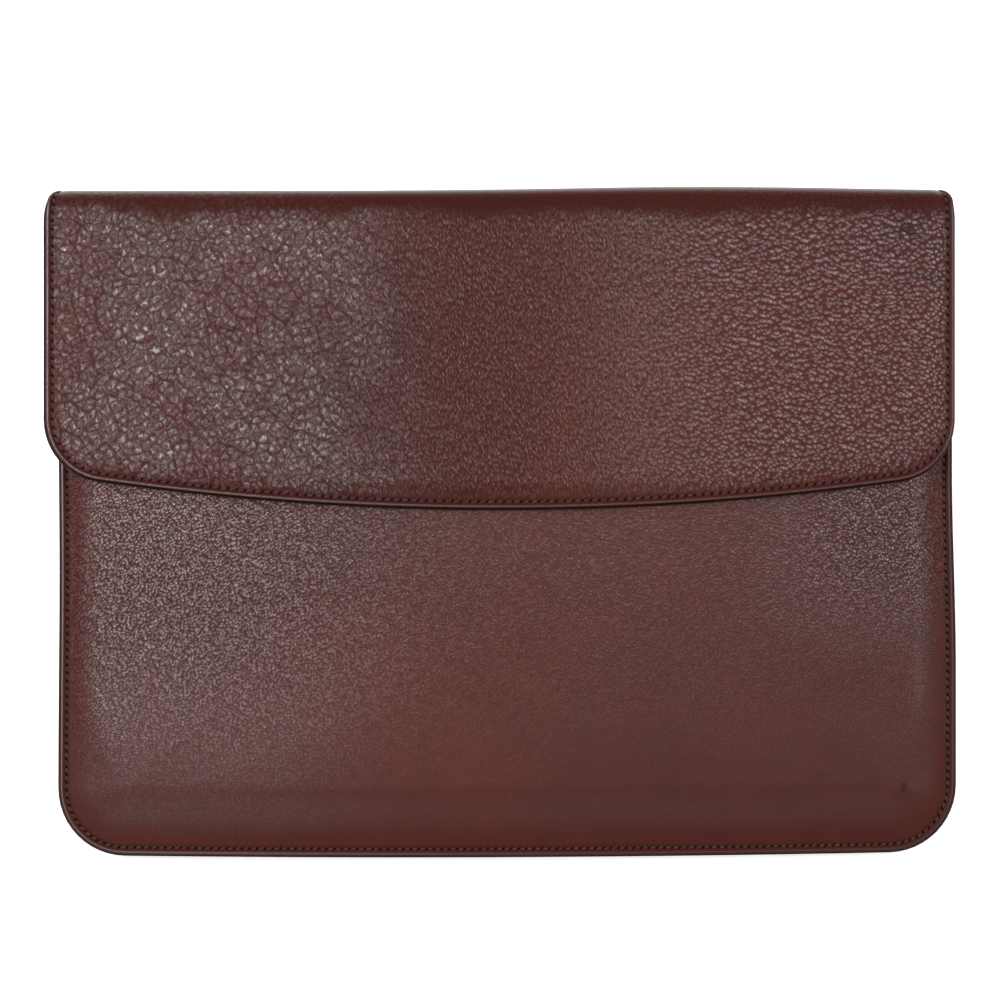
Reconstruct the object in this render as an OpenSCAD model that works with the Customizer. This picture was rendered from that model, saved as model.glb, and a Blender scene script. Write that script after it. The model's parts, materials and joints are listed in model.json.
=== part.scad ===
// Envelope laptop sleeve: a padded leather pouch with a wide flap that folds over its top edge.
// It lies on its back. +X is to the right of the front face, +Y runs toward the fold, +Z up out
// of the front face. The origin is the middle of its footprint, on the surface that it lies on.
// The flap turns on two creases: one at the back of the fold and one at the front of it.

/* [Pouch] */
// Width of the pouch across its side seams
pouch_w = 344; // [300:1:420]
// Height of the closed sleeve, bottom seam to fold
sleeve_h = 255; // [210:1:300]
// How far the pouch sits to the right of the origin
pouch_shift = 2; // [0:0.1:2.5]
// Radius of the two bottom corners
pouch_corner = 25.5; // [20:0.5:40]
// Height of the hollow that holds the laptop
pocket_t = 12; // [8:0.5:20]
// Width of the flat sewn border
border_w = 5; // [4:0.25:7]

/* [Layers] */
// Thickness of the outer leather
leather_t = 1.2; // [0.8:0.1:1.8]
// Thickness of the foam
foam_t = 1.6; // [1:0.1:3]
// Thickness of the lining
lining_t = 0.6; // [0.4:0.1:1]
// Glue line between two layers
glue_t = 0.05; // [0.03:0.01:0.1]

/* [Flap] */
// Width of the flap
flap_w = 347; // [303:0.2:423]
// Distance from the fold to the lowest point of the flap
flap_l = 122.4; // [80:0.1:160]
// How far the flap and the fold sit to the left of the origin
flap_shift = 0.7; // [0:0.1:1]
// Radius of the flap's long curved lower edge
flap_bow_r = 1090; // [700:10:3000]
// Radius of the flap's two lower corners
flap_corner = 24; // [10:0.5:40]
// Air gap between the flap and the pouch
flap_gap = 0.9; // [0.6:0.1:2]
// Foam stops this far inside the flap's edge
foam_inset = 7; // [6:0.5:12]

/* [Stitching] */
// Distance of the stitch rows from the edges
stitch_inset = 3; // [2:0.1:3.5]
// Width of the sewing thread
thread_w = 0.8; // [0.4:0.1:1]
// How far the thread stands out of the leather
thread_t = 0.3; // [0.2:0.05:0.4]

/* [Mouth] */
// Distance of the pouch's mouth from the start of the fold
mouth_back = 2; // [1:0.5:10]
// Depth of the leather facing inside the front of the mouth
front_facing_l = 20; // [12:1:40]
// Depth of the leather facing inside the back of the mouth
back_facing_l = 32; // [12:1:60]

/* [Magnets] */
// Diameter of each magnet
magnet_d = 15; // [10:1:18]
// Thickness of each magnet
magnet_t = 1.2; // [0.8:0.1:1.2]
// Diameter of the fabric patch over each magnet
patch_d = 22; // [20:1:30]
// Thickness of the patch
patch_t = 0.3; // [0.2:0.05:0.3]
// Distance of the magnets from the middle
magnet_x = 100; // [60:1:130]
// Distance of the magnets above the flap's lowest point
magnet_rise = 30; // [26:1:40]

/* [Hidden] */
// Surface depth of each layer, measured inward from the leather
foam_at = leather_t + glue_t;
lining_at = foam_at + foam_t + glue_t;
wall_t = lining_at + lining_t;

// Heights
seam_z = wall_t + pocket_t / 2;
pouch_top = 2 * seam_z;
flap_top = pouch_top + flap_gap + wall_t;

// Pouch: the wall rises from the sewn border in a quarter round
edge_r = pouch_top - seam_z - leather_t;
plate_inset = border_w + edge_r;

// Fold: a half round that wraps the whole thickness
fold_r = flap_top / 2;
fold_y = sleeve_h / 2 - fold_r;
crease_angle = 45;
crease_gap = 1.2;
flat_angle = 180;

// Lengthwise places
bottom_y = -sleeve_h / 2;
mouth_y = fold_y - mouth_back;
flap_high_y = fold_y - mouth_back / 2;
flap_low_y = sleeve_h / 2 - flap_l;
magnet_y = flap_low_y + magnet_rise;

// Number of steps in a quarter round, a corner and the long curve of the flap
quarter_steps = 8;
corner_steps = 10;
bow_steps = 24;
patch_clear = 0.2;
smooth = 64;

leather_colour = [0.36, 0.17, 0.14];
edge_colour = [0.25, 0.11, 0.09];
foam_colour = [0.22, 0.22, 0.23];
lining_colour = [0.33, 0.25, 0.20];
thread_colour = [0.45, 0.22, 0.17];
magnet_colour = [0.72, 0.72, 0.74];
patch_colour = [0.85, 0.82, 0.76];

// ---- Pouch walls ----

// Points of a quarter round in the (inset, height) plane, from upright to level
function quarter(r) = [
    for (i = [0 : quarter_steps])
        let (a = 180 - i * 90 / quarter_steps)
        [plate_inset + r * cos(a), pouch_top - edge_r + r * sin(a)]
];

function reversed(points) = [for (i = [len(points) - 1 : -1 : 0]) points[i]];

// Cross-section of one layer of the front wall, between two depths, down to the height foot_z
module wall_section(depth_a, depth_b, foot_z) {
    outer = quarter(edge_r - depth_a);
    inner = quarter(edge_r - depth_b);
    polygon(concat(
        [[border_w + depth_a, foot_z]],
        outer,
        reversed(inner),
        [[border_w + depth_b, foot_z]]
    ));
}

// Carries a cross-section along the left side, round the bottom and up the right side
module around_pouch(top_y) {
    side_l = top_y - bottom_y - pouch_corner;
    bottom_l = pouch_w - 2 * pouch_corner;
    for (side = [0, 1])
        mirror([side, 0, 0]) {
            translate([-pouch_w / 2, top_y, 0])
                rotate([90, 0, 0])
                    linear_extrude(side_l) children();
            translate([pouch_corner - pouch_w / 2, bottom_y + pouch_corner, 0])
                rotate([0, 0, 180])
                    rotate_extrude(angle = 90, $fn = smooth)
                        translate([pouch_corner, 0]) mirror([1, 0]) children();
        }
    translate([-bottom_l / 2, bottom_y, 0])
        rotate([90, 0, 90])
            linear_extrude(bottom_l) children();
}

// Flat middle of a wall, between two depths and two lengthwise places
module plate(depth_a, depth_b) {
    half = pouch_w / 2 - plate_inset;
    r = pouch_corner - plate_inset;
    low = bottom_y + plate_inset;
    translate([0, 0, pouch_top - depth_b])
        linear_extrude(depth_b - depth_a) {
            translate([-half, low + r]) square([2 * half, mouth_y - low - r]);
            translate([r - half, low]) square([2 * (half - r), r]);
            for (side = [-1, 1])
                translate([side * (half - r), low + r]) circle(r, $fn = smooth);
        }
}

// One layer of the front wall: rising sides and flat middle
module wall_layer(depth_a, depth_b, foot_z) {
    around_pouch(mouth_y) wall_section(depth_a, depth_b, foot_z);
    plate(depth_a, depth_b);
}

// Keeps what lies between two lengthwise places
module between(low_y, high_y) {
    intersection() {
        children();
        translate([-pouch_w, low_y, -pouch_top])
            cube([2 * pouch_w, high_y - low_y, 3 * pouch_top]);
    }
}

// The flat sewn border of the leather
module border() {
    around_pouch(mouth_y)
        translate([0, seam_z]) square([border_w + leather_t, leather_t]);
}

// The outer leather of one wall
module wall_leather() {
    border();
    wall_layer(0, leather_t, seam_z);
}

// The front wall's shapes, turned over to make the back wall
module turned_over() {
    translate([0, 0, pouch_top]) mirror([0, 0, 1]) children();
}

module pouch_place() {
    translate([pouch_shift, 0, 0]) children();
}

module flap_place() {
    translate([-flap_shift, 0, 0]) children();
}

// ---- Fold ----

// A strip bent round the fold, between two depths; 0 degrees is its back and 180 its front
module fold_strip(depth_a, depth_b, from_angle, to_angle, width) {
    translate([-width / 2, fold_y, fold_r])
        rotate([0, 90, 0])
            rotate([0, 0, from_angle])
                rotate_extrude(angle = to_angle - from_angle, $fn = smooth)
                    translate([fold_r - depth_b, 0])
                        square([depth_b - depth_a, width]);
}

// The part of the fold that belongs to the back wall, with the level strip that leads to it
module fold_root(depth_a, depth_b, width) {
    translate([-width / 2, mouth_y, depth_a])
        cube([width, mouth_back, depth_b - depth_a]);
    fold_strip(depth_a, depth_b, 0, crease_angle - crease_gap, width);
}

// The same part at the front of the fold, which belongs to the flap
module fold_end(depth_a, depth_b, width) {
    translate([0, 0, flap_top]) mirror([0, 0, 1]) fold_root(depth_a, depth_b, width);
}

module fold_middle(depth_a, depth_b, width) {
    fold_strip(depth_a, depth_b, crease_angle + crease_gap, flat_angle - crease_angle - crease_gap, width);
}

// ---- Flap ----

// Outline of the flap, inset from its edge: straight sides, round corners, long curved lower edge
function arc_points(cx, cy, r, from_angle, to_angle, steps) = [
    for (i = [0 : steps])
        let (a = from_angle + (to_angle - from_angle) * i / steps)
        [cx + r * cos(a), cy + r * sin(a)]
];

function flap_points(inset) =
    let (
        half = flap_w / 2 - flap_corner,
        bow_y = flap_low_y + flap_bow_r,
        reach = flap_bow_r - flap_corner,
        corner_y = bow_y - sqrt(reach * reach - half * half),
        swing = asin(half / reach),
        r = flap_corner - inset
    )
    concat(
        [[-flap_w / 2 + inset, flap_high_y]],
        arc_points(-half, corner_y, r, 180, 270 - swing, corner_steps),
        arc_points(0, bow_y, flap_bow_r - inset, 270 - swing, 270 + swing, bow_steps),
        arc_points(half, corner_y, r, 270 + swing, 360, corner_steps),
        [[flap_w / 2 - inset, flap_high_y]]
    );

module flap_layer(depth_a, depth_b, inset) {
    translate([0, 0, flap_top - depth_b])
        linear_extrude(depth_b - depth_a) polygon(flap_points(inset));
    fold_end(depth_a, depth_b, flap_w - 2 * inset);
}

// A stitch row along the flap's sides and lower edge, with its underside at the height low_z
module flap_row(low_z) {
    outer = flap_points(stitch_inset - thread_w / 2);
    inner = flap_points(stitch_inset + thread_w / 2);
    translate([0, 0, low_z])
        linear_extrude(thread_t)
            polygon(concat(outer, reversed(inner)));
}

// ---- Magnets ----

module at_magnet(side) {
    translate([side * magnet_x - flap_shift, magnet_y, 0]) children();
}

// Clear holes through a foam sheet for the two magnets and their patches
module magnet_holes() {
    for (side = [-1, 1])
        at_magnet(side)
            cylinder(h = 2 * flap_top, d = patch_d + 2 * patch_clear, $fn = smooth);
}

// A magnet and its patch fill the depth of a foam sheet whose underside is at low_z
module magnet(side, low_z) {
    color(magnet_colour)
        at_magnet(side)
            translate([0, 0, low_z]) cylinder(h = magnet_t, d = magnet_d, $fn = smooth);
}

module magnet_patch(side, low_z) {
    color(patch_colour)
        at_magnet(side)
            translate([0, 0, low_z + magnet_t + glue_t]) cylinder(h = patch_t, d = patch_d, $fn = smooth);
}

front_foam_z = pouch_top - foam_at - foam_t;
flap_foam_z = flap_top - foam_at - foam_t;

// ---- Sub-parts of the pouch ----

module front_panel() {
    color(leather_colour) pouch_place() wall_leather();
}

module front_padding() {
    color(foam_colour)
        difference() {
            pouch_place() wall_layer(foam_at, foam_at + foam_t, seam_z + glue_t);
            magnet_holes();
        }
}

module front_lining() {
    color(lining_colour)
        pouch_place()
            between(bottom_y, mouth_y - front_facing_l - glue_t)
                wall_layer(lining_at, wall_t, seam_z + glue_t);
}

module front_facing() {
    color(edge_colour)
        pouch_place()
            between(mouth_y - front_facing_l, mouth_y)
                wall_layer(lining_at, wall_t, seam_z + glue_t);
}

module back_panel() {
    color(leather_colour) {
        pouch_place() turned_over() wall_leather();
        flap_place() fold_root(0, leather_t, flap_w);
    }
}

module back_padding() {
    color(foam_colour) {
        pouch_place() turned_over() wall_layer(foam_at, foam_at + foam_t, seam_z + glue_t);
        flap_place() fold_root(foam_at, foam_at + foam_t, flap_w - 2 * foam_inset);
    }
}

module back_lining() {
    color(lining_colour)
        pouch_place()
            turned_over()
                between(bottom_y, mouth_y - back_facing_l - glue_t)
                    wall_layer(lining_at, wall_t, seam_z + glue_t);
}

module back_facing() {
    color(edge_colour) {
        pouch_place()
            turned_over()
                between(mouth_y - back_facing_l, mouth_y)
                    wall_layer(lining_at, wall_t, seam_z + glue_t);
        flap_place() fold_root(lining_at, wall_t, flap_w - 2 * foam_inset);
    }
}

// One row shows on the front border and its other side on the back border
module body_thread() {
    row_low = stitch_inset - thread_w / 2;
    color(thread_colour)
        pouch_place()
            for (low_z = [seam_z + leather_t, seam_z - leather_t - thread_t])
                around_pouch(mouth_y)
                    translate([row_low, low_z]) square([thread_w, thread_t]);
}

module mouth_thread() {
    half = pouch_w / 2 - plate_inset;
    color(thread_colour)
        pouch_place()
            translate([-half, mouth_y - stitch_inset - thread_w / 2, pouch_top])
                cube([2 * half, thread_w, thread_t]);
}

module front_magnet_left() { magnet(-1, front_foam_z); }
module front_magnet_right() { magnet(1, front_foam_z); }
module front_magnet_patch_left() { magnet_patch(-1, front_foam_z); }
module front_magnet_patch_right() { magnet_patch(1, front_foam_z); }

// ---- Sub-parts of the fold ----

module spine_panel() {
    color(leather_colour) flap_place() fold_middle(0, leather_t, flap_w);
}

module spine_padding() {
    color(foam_colour) flap_place() fold_middle(foam_at, foam_at + foam_t, flap_w - 2 * foam_inset);
}

module spine_lining() {
    color(lining_colour) flap_place() fold_middle(lining_at, wall_t, flap_w - 2 * foam_inset);
}

module spine_thread() {
    color(thread_colour)
        flap_place()
            for (side = [-1, 1])
                translate([side * (flap_w / 2 - stitch_inset), 0, 0])
                    fold_middle(-thread_t, 0, thread_w);
}

// ---- Sub-parts of the flap ----

module flap_panel() {
    color(leather_colour) flap_place() flap_layer(0, leather_t, 0);
}

module flap_padding() {
    color(foam_colour)
        difference() {
            flap_place() flap_layer(foam_at, foam_at + foam_t, foam_inset);
            magnet_holes();
        }
}

module flap_lining() {
    color(lining_colour) flap_place() flap_layer(lining_at, wall_t, 0);
}

module flap_thread() {
    color(thread_colour)
        flap_place() {
            flap_row(flap_top);
            flap_row(flap_top - wall_t - thread_t);
        }
}

module flap_magnet_left() { magnet(-1, flap_foam_z); }
module flap_magnet_right() { magnet(1, flap_foam_z); }
module flap_magnet_patch_left() { magnet_patch(-1, flap_foam_z); }
module flap_magnet_patch_right() { magnet_patch(1, flap_foam_z); }

front_panel();
front_padding();
front_lining();
front_facing();
back_panel();
back_padding();
back_lining();
back_facing();
body_thread();
mouth_thread();
front_magnet_left();
front_magnet_right();
front_magnet_patch_left();
front_magnet_patch_right();
spine_panel();
spine_padding();
spine_lining();
spine_thread();
flap_panel();
flap_padding();
flap_lining();
flap_thread();
flap_magnet_left();
flap_magnet_right();
flap_magnet_patch_left();
flap_magnet_patch_right();
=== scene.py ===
import json
import math

import bpy
import numpy as np
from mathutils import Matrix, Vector, noise


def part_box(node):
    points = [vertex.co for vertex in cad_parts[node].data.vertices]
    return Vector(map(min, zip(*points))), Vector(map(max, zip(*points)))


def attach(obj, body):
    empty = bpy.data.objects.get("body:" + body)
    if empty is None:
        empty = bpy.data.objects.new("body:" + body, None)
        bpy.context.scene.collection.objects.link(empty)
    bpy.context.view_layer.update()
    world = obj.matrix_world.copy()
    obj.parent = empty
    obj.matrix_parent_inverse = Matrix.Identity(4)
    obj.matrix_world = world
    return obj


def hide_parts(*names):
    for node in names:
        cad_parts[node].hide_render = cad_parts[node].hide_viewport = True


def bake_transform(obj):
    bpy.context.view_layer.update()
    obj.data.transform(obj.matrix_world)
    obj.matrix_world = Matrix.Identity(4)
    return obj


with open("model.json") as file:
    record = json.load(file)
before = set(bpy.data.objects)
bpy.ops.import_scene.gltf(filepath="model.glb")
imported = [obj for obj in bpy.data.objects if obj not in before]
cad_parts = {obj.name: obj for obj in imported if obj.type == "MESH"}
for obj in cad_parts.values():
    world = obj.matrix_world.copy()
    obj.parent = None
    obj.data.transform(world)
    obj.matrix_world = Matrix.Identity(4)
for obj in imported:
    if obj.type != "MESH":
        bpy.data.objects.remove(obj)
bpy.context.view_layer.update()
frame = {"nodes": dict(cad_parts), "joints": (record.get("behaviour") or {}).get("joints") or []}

# The sleeve lies on its back: +X right, +Y toward the fold, +Z up out of the front face.
# Lengths below are in millimetres and turn into metres where a mesh is made.
# A sheet of leather or cloth is described in its own flat plane: x across, q along its length.
# q runs on over the fold, or round the mouth's rolled edge, and d is the distance from the cut edge.

MM = 0.001


def node_box(node):
    """A CAD node's lowest and highest corner, in millimetres."""
    low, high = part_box(node)
    return np.array(low) / MM, np.array(high) / MM


# ---- Sizes, from the frame ----

FRONT_LOW, FRONT_HIGH = node_box("front_panel")
FLAP_LOW, FLAP_HIGH = node_box("flap_panel")
SPINE_HIGH = node_box("spine_panel")[1]
POUCH_LEFT, POUCH_RIGHT = FRONT_LOW[0], FRONT_HIGH[0]
POUCH_BOTTOM, MOUTH_Y = FRONT_LOW[1], FRONT_HIGH[1]
SEAM_Z, POUCH_TOP = FRONT_LOW[2], FRONT_HIGH[2]
FLAP_LEFT, FLAP_RIGHT = FLAP_LOW[0], FLAP_HIGH[0]
FLAP_TIP, FLAP_TOP = FLAP_LOW[1], FLAP_HIGH[2]
FOLD_R = FLAP_TOP / 2
FOLD_Y = SPINE_HIGH[1] - FOLD_R
QUARTER_L = FOLD_R * math.pi / 2
FOLD_MIDDLE = FOLD_Y + QUARTER_L
CREASE_Y = next(j for j in frame["joints"] if j["name"] == "back_crease")["pos_m"][1] / MM

# ---- Sizes of the making ----

POUCH_CORNER = 25.5
POUCH_BOW = 9000.0
FLAP_CORNER = 24.0
FLAP_BOW = 1090.0
FLAP_OUTLINE = (FLAP_LEFT, FLAP_RIGHT, FLAP_TIP, FLAP_CORNER, FLAP_BOW)
POUCH_OUTLINE = (POUCH_LEFT, POUCH_RIGHT, POUCH_BOTTOM, POUCH_CORNER, POUCH_BOW)
LEATHER_T = 1.2
LINING_T = 0.55
FOAM_T = 1.5
WALL_T = 3.5
GLUE_GAP = 0.05
BORDER = 3.5
SIDE_PUFF_END = 17.0
BOTTOM_PUFF_END = 30.0
FLAP_PUFF_END = 10.0
MID_PUFF_END = 7.0
FLAP_DIP = 1.35
MID_DIP = 0.12
SAG = 3.4
POUCH_DIP = POUCH_TOP - SEAM_Z - LEATHER_T
BACK_PROUD = 0.6
LINING_PROUD = 0.45
STITCH_INSET = 2.75
FOLD_CORNER = 3.6
FOLD_POWER = 0.76
FOLD_LEAN = 0.8
SLOPE_DROP = 1.5
ROLL_R = 1.75
ROLL_R_BORDER = 1.3
ROLL_TAIL = 4.0
LINING_INSET = 7.5
FRONT_FACING_L = 20.0
BACK_FACING_L = 32.0


def grown(outline, by):
    """An outline (left, right, tip, corner and bow) moved outward; its long lower curve stays."""
    left, right, tip, corner, bow = outline
    return left - by, right + by, tip - by, corner + by, bow


def smooth(x, a, b):
    """0 before a, 1 after b, and an even S between."""
    t = np.clip((np.asarray(x, float) - a) / (b - a), 0, 1)
    return t * t * (3 - 2 * t)


def mix(a, b, t):
    return a + (b - a) * t


def hump(x, centre, width):
    return np.exp(-(((np.asarray(x, float) - centre) / width) ** 2))


# ---- Noise over a sheet ----

# Without a seed, noise_vector would be different in every run
NOISE_SEED = 1
noise.seed_set(NOISE_SEED)


def sample(x, q, f):
    """f of each point of a sheet, as an array."""
    return np.array([f(a, b) for a, b in zip(np.ravel(x), np.ravel(q))]).reshape(np.shape(x))


def swell(x, q, size, seed):
    """Smooth hills and hollows about size across, from -1 to 1."""
    return sample(x, q, lambda a, b: noise.noise(Vector((a / size, b / size, seed))))


def creases(x, q, size, width, seed, turn=0.0, stretch=1.0):
    """1 along the borders of wandering cells about size across, 0 inside them."""
    c, s = math.cos(turn), math.sin(turn)

    def one(a, b):
        u, v = (a * c + b * s) / size / stretch, (b * c - a * s) / size
        p = Vector((u, v, seed))
        p = p + 0.35 * noise.noise_vector(p * 1.3)
        p.z = seed
        near = noise.voronoi(p)[0]
        return math.exp(-(((near[1] - near[0]) / width) ** 2))

    return sample(x, q, one)


# ---- A cut sheet and its mesh ----


def no_repeats(face):
    """A face's points in order, each of them once."""
    return [int(v) for i, v in enumerate(face) if v not in face[:i]]


def grid_faces(g):
    """Four-sided faces between the neighbours of a grid of points."""
    high, wide = g.shape
    return [
        [int(g[j, i]), int(g[j, i + 1]), int(g[j + 1, i + 1]), int(g[j + 1, i])]
        for j in range(high - 1)
        for i in range(wide - 1)
    ]


def rows(*marks):
    """Row places from (place, step to the next) pairs; the last step isn't used."""
    out = []
    for (a, step), (b, _) in zip(marks, marks[1:]):
        out += list(np.linspace(a, b, max(1, round((b - a) / step)), endpoint=False))
    return np.array(out + [marks[-1][0]])


class Cut:
    """A sheet's outline: straight sides, two round lower corners and a long curved lower edge.

    Its sides have a point every side_step above the corners, and then as the marks say."""

    corner_steps = 12

    def __init__(self, outline, bottom_steps, side_step, *marks):
        left, right, tip, corner, bow = outline
        self.left, self.right, self.corner, self.bow = left, right, corner, bow
        self.middle = (left + right) / 2
        half = (right - left) / 2 - corner
        self.bow_y = tip + bow
        self.corner_y = self.bow_y - math.sqrt((bow - corner) ** 2 - half**2)
        self.swing = math.asin(half / (bow - corner))
        self.half = half
        self.side = rows((self.corner_y, side_step), *marks)
        self.bottom_steps = bottom_steps

    def ring(self, d):
        """Points at the distance d from the edge: down the left side, round, and up the right."""
        low_turn = math.pi * 1.5
        left_end, right_start = low_turn - self.swing, low_turn + self.swing
        small, large = self.corner - d, self.bow - d
        arcs = [
            (self.middle - self.half, self.corner_y, small, math.pi, left_end, self.corner_steps),
            (self.middle, self.bow_y, large, left_end, right_start, self.bottom_steps),
            (self.middle + self.half, self.corner_y, small, right_start, math.pi * 2, self.corner_steps),
        ]
        xs, qs = [np.full(len(self.side), self.left + d)], [self.side[::-1]]
        for centre_x, centre_y, radius, start, stop, steps in arcs:
            a = np.linspace(start, stop, steps + 1)[1:]
            xs.append(centre_x + radius * np.cos(a))
            qs.append(centre_y + radius * np.sin(a))
        xs.append(np.full(len(self.side) - 1, self.right - d))
        qs.append(self.side[1:])
        return np.concatenate(xs), np.concatenate(qs)

    def middle_grid(self, ring_d):
        """The rows and columns inside the innermost ring, as x, q and d in grids."""
        x, q = self.ring(ring_d)
        first = len(self.side) - 1 + self.corner_steps
        bottom = slice(first, first + self.bottom_steps + 1)
        low_q = q[bottom][None, :]
        lift = (self.side - self.side[0]) / (self.side[-1] - self.side[0])
        grid_q = low_q + lift[:, None] * (self.side[-1] - low_q)
        grid_x = np.repeat(x[bottom][None, :], len(self.side), 0)
        edge = np.minimum(grid_x - self.left, self.right - grid_x)
        return grid_x, grid_q, np.minimum(edge, grid_q - low_q + ring_d)

    def points(self, rings):
        """All points of the sheet as x, q and d, with the faces, the end row and one ring's length."""
        outlines = [self.ring(d) for d in rings[:-1]]
        rim = len(outlines[0][0])
        grids = self.middle_grid(rings[-1])
        grid = np.arange(grids[0].size).reshape(grids[0].shape) + rim * len(outlines)
        index = [np.arange(rim) + rim * k for k in range(len(outlines))]
        bands = index + [self.grid_rim(grid)]
        faces = []
        for a, b in zip(bands, bands[1:]):
            faces += [no_repeats([a[k], a[k + 1], b[k + 1], b[k]]) for k in range(rim - 1)]
        faces += grid_faces(grid)
        end = [int(a[0]) for a in index] + [int(v) for v in grid[-1]] + [int(a[-1]) for a in index[::-1]]
        x = np.concatenate([outline[0] for outline in outlines] + [grids[0].ravel()])
        q = np.concatenate([outline[1] for outline in outlines] + [grids[1].ravel()])
        d = np.concatenate([np.repeat(rings[:-1], rim), grids[2].ravel()])
        return x, q, d, faces, end, rim

    def grid_rim(self, grid):
        """The grid's outer points, one for each point of a ring: its two low corners repeat."""
        left, right = list(grid[::-1, 0]), list(grid[1:, -1])
        turns = self.corner_steps
        return np.array(left + [grid[0, 0]] * turns + list(grid[0, 1:]) + [grid[0, -1]] * turns + right)

    def path(self, d):
        """The line at the distance d from the edge, as dense points with their running length."""
        x, q = self.ring(d)
        s = np.concatenate([[0], np.cumsum(np.hypot(np.diff(x), np.diff(q)))])
        return x, q, s


def linked(name, data):
    """A new object of the scene that shows the mesh, light or camera."""
    obj = bpy.data.objects.new(name, data)
    bpy.context.collection.objects.link(obj)
    return obj


def new_object(name, verts_mm, faces, attributes, sharp=55):
    mesh = bpy.data.meshes.new(name)
    mesh.from_pydata([tuple(v) for v in np.asarray(verts_mm) * MM], [], faces)
    mesh.validate()
    for key, values in attributes.items():
        kind = "FLOAT_VECTOR" if values.ndim == 2 else "FLOAT"
        layer = mesh.attributes.new(key, kind, "POINT")
        field = "vector" if values.ndim == 2 else "value"
        layer.data.foreach_set(field, values.astype(np.float32).ravel())
    mesh.polygons.foreach_set("use_smooth", [True] * len(mesh.polygons))
    mesh.set_sharp_from_angle(angle=math.radians(sharp))
    return linked(name, mesh)


def sheet_object(name, cut, rings, place, extra=None):
    """A closed sheet. place(x, q, d, outer) gives the points of its outer or inner face, which
    share the outermost ring; the end row is closed by a narrow face."""
    x, q, d, faces, end, rim = cut.points(rings)
    outer = place(x, q, d, True)
    inner = place(x, q, d, False)
    n = len(x)
    verts = np.concatenate([outer, inner[rim:]])
    other = np.concatenate([np.arange(rim), np.arange(rim, n) + n - rim])
    all_faces = list(faces) + [[int(other[v]) for v in reversed(f)] for f in faces]
    for a, b in zip(end, end[1:]):
        all_faces.append(no_repeats([b, a, other[a], other[b]]))
    flat = np.stack([x, q, d], 1)
    data = {"cloth": np.concatenate([flat, flat[rim:]])}
    if extra is not None:
        values = extra(x, q, d)
        data["dye"] = np.concatenate([values, values[rim:]])
    return new_object(name, verts, all_faces, data)


def strip_object(name, xs, qs, place):
    """A closed rectangular strip, its outer and inner faces joined all round."""
    x, q = np.meshgrid(xs, qs)
    d = np.minimum(x - xs[0], xs[-1] - x)
    shape = x.shape
    x, q, d = x.ravel(), q.ravel(), d.ravel()
    verts = np.concatenate([place(x, q, d, True), place(x, q, d, False)])
    index = np.arange(len(x)).reshape(shape)
    n = len(x)
    faces = []
    for face in grid_faces(index):
        faces.append(face)
        faces.append([v + n for v in reversed(face)])
    loop = list(index[0, :]) + list(index[1:, -1]) + list(index[-1, -2::-1]) + list(index[-2:0:-1, 0])
    for a, b in zip(loop, loop[1:] + loop[:1]):
        faces.append([int(b), int(a), int(a) + n, int(b) + n])
    flat = np.stack([x, q, d], 1)
    return new_object(name, verts, faces, {"cloth": np.concatenate([flat, flat])})


# ---- Where the sheets lie ----


def fold_curve(power):
    """Half of the fold's section, a squarish round, as running length and unit y and z."""
    a = np.linspace(0, math.pi / 2, 600)
    y, z = np.sin(a) ** power, np.cos(a) ** power
    length = np.concatenate([[0], np.cumsum(np.hypot(np.diff(y), np.diff(z)))])
    return length / length[-1], y, z


FOLD_LENGTH, FOLD_UNIT_Y, FOLD_UNIT_Z = fold_curve(FOLD_POWER)


def fold_point(x, q, h, front):
    """A point of a sheet that runs over the fold: h is its height outward from the outer face."""
    level = np.minimum(q, FOLD_Y)
    share = fold_share(q)
    unit_y = np.interp(share, FOLD_LENGTH, FOLD_UNIT_Y)
    unit_z = np.interp(share, FOLD_LENGTH, FOLD_UNIT_Z)
    reach = FOLD_R + h
    y = level + reach * unit_y
    z = FOLD_R + reach * unit_z
    y = y + fold_bow(x) * smooth(q, FOLD_Y - 30, FOLD_MIDDLE)
    return np.stack([fold_side(x, FOLD_R * (1 - unit_y)), y, z if front else 2 * FOLD_R - z], 1)


def fold_side(x, fall):
    """The fold's ends are drawn in and rounded, so that the sleeve's upper corners are round."""
    inside = np.clip((FOLD_CORNER - fall) / FOLD_CORNER, 0, 1)
    inset = FOLD_CORNER * (1 - np.sqrt(1 - inside**2)) * 0.9 + FOLD_LEAN * smooth(fall, FOLD_R, 0)
    t = (x - (FLAP_LEFT + FLAP_RIGHT) / 2) / ((FLAP_RIGHT - FLAP_LEFT) / 2)
    return x - inset * np.sign(t) * np.abs(t) ** 14


def fold_bow(x):
    """The fold isn't quite straight: it stands proud to the right of the middle."""
    return 1.5 * hump(x, 78, 75) - 0.3


def fold_share(q):
    """0 before the fold starts and 1 at its middle."""
    return np.clip((q - FOLD_Y) / QUARTER_L, 0, 1)


def edge_profile(d, dip, puff_end, border=BORDER):
    """Outer face near an edge: a rolled bead, the stitched valley, then the rise of the padding."""
    rise = -dip * (1 - smooth(d, border, puff_end))
    bead = 0.30 * np.clip(1 - ((d - 1.15) / 1.0) ** 2, 0, None)
    valley = -0.38 * hump(d, STITCH_INSET, 0.75)
    return rise + (bead + valley) * mix(0.3, 1, smooth(dip, MID_DIP, FLAP_DIP))


def rounded(d, half):
    """How far a round edge of that half thickness falls back, at the distance d from it."""
    t = np.clip(half - d, 0, half)
    return half - np.sqrt(np.clip(half**2 - t**2, 0, None))


def face_heights(d, top, outer, thickness=LEATHER_T):
    """Outer or inner face of a sheet whose outer face is at top, with a round cut edge."""
    back = rounded(d, thickness / 2)
    return top - back if outer else top - thickness + back


def flap_edge(q):
    share = smooth(fold_share(q), 0, 1)
    return mix(FLAP_DIP, MID_DIP, share), mix(FLAP_PUFF_END, MID_PUFF_END, share)


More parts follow.
